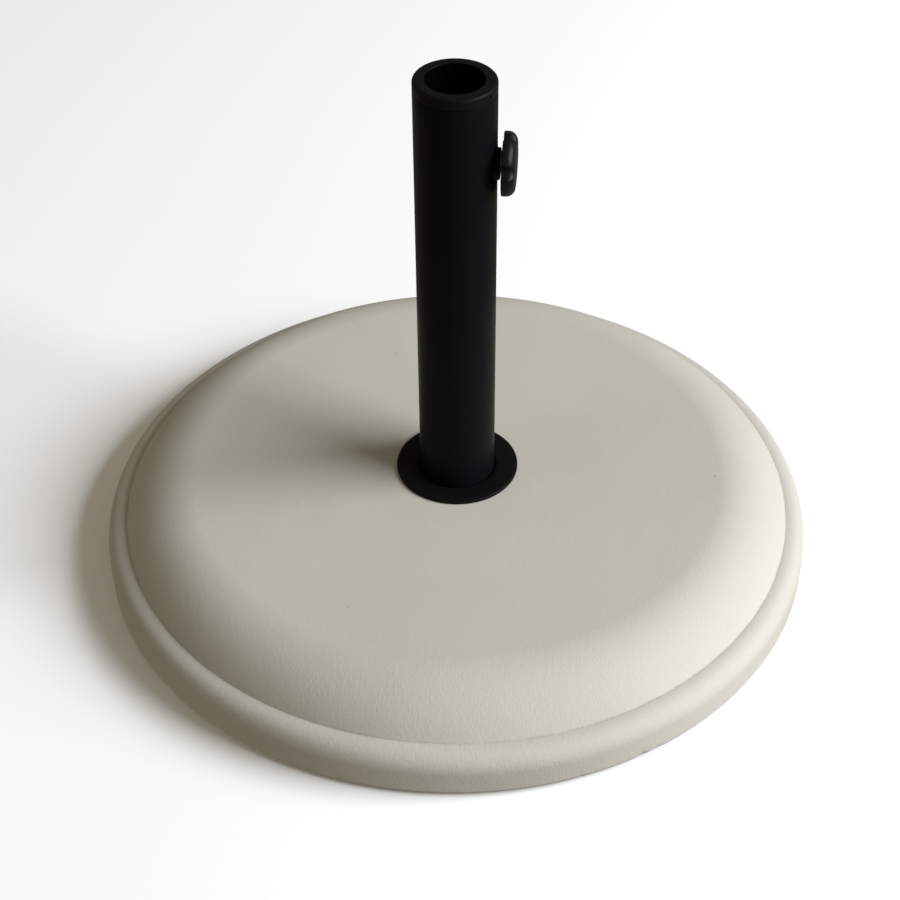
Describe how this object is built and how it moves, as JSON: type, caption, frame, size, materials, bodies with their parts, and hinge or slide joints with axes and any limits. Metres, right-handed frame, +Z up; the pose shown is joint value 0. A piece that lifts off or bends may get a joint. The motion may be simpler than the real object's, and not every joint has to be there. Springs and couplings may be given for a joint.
{
  "type": "parasol base",
  "caption": "Round cast-concrete parasol base with a domed top, a rim bead, a bolted steel stand tube, a loose cover rosette, a pole reducer ring and a side clamp knob.",
  "frame": {"origin": "on the ground under the stand tube's axis, at the bottom of the rubber pads", "axes": "+Z up along the tube and the pole's bore; +X out along the clamp screw towards its knob; +Y completes a right-handed frame"},
  "size_m": [0.515, 0.515, 0.38],
  "materials": {
    "concrete": "fine cast, painted off-white",
    "wire_steel": "plain drawn wire",
    "black_plastic": "satin moulded",
    "powder_coat": "fine satin powder coat",
    "zinc_steel": "zinc plated",
    "black_rubber": "matt",
    "knob_plastic": "semi-gloss moulded",
    "white_nylon": "moulded"
  },
  "bodies": {
    "base": {"concrete_disc": "concrete", "rebar_outer_ring": "wire_steel", "rebar_inner_ring": "wire_steel", "rebar_spokes": "wire_steel", "socket_sleeve": "black_plastic", "stand_tube": "powder_coat", "tube_end_plate": "zinc_steel", "anchor_nut": "zinc_steel", "anchor_bolt": "zinc_steel", "anchor_spring_washer": "zinc_steel", "anchor_plate_washer": "zinc_steel", "foot_pads": "black_rubber", "pole_seat": "black_plastic", "clamp_boss": "powder_coat"},
    "rosette": {"cover_rosette": "black_plastic"},
    "reducer": {"reducer_ring": "black_plastic"},
    "clamp_pad": {"pressure_pad": "white_nylon"},
    "knob": {"clamp_screw": "zinc_steel", "knob_body": "knob_plastic", "knob_cap": "knob_plastic"}
  },
  "joints": [
    {"name": "rosette_lift", "type": "slide", "parent": "base", "child": "rosette", "axis": [0, 0, 1], "range_m": [0, 0.228]},
    {"name": "reducer_lift", "type": "slide", "parent": "base", "child": "reducer", "axis": [0, 0, 1], "range_m": [0, 0.045]},
    {"name": "clamp_travel", "type": "slide", "parent": "base", "child": "clamp_pad", "axis": [1, 0, 0], "range_m": [-0.0015, 0.017]},
    {"name": "knob_turn", "type": "hinge", "parent": "clamp_pad", "child": "knob", "pos_m": [0.03, 0, 0.321], "axis": [1, 0, 0], "range_deg": [-430, 4890]}
  ],
  "couplings": [
    {"joint": "clamp_travel", "follows": "knob_turn", "m_per_rad": 0.00019894}
  ]
}
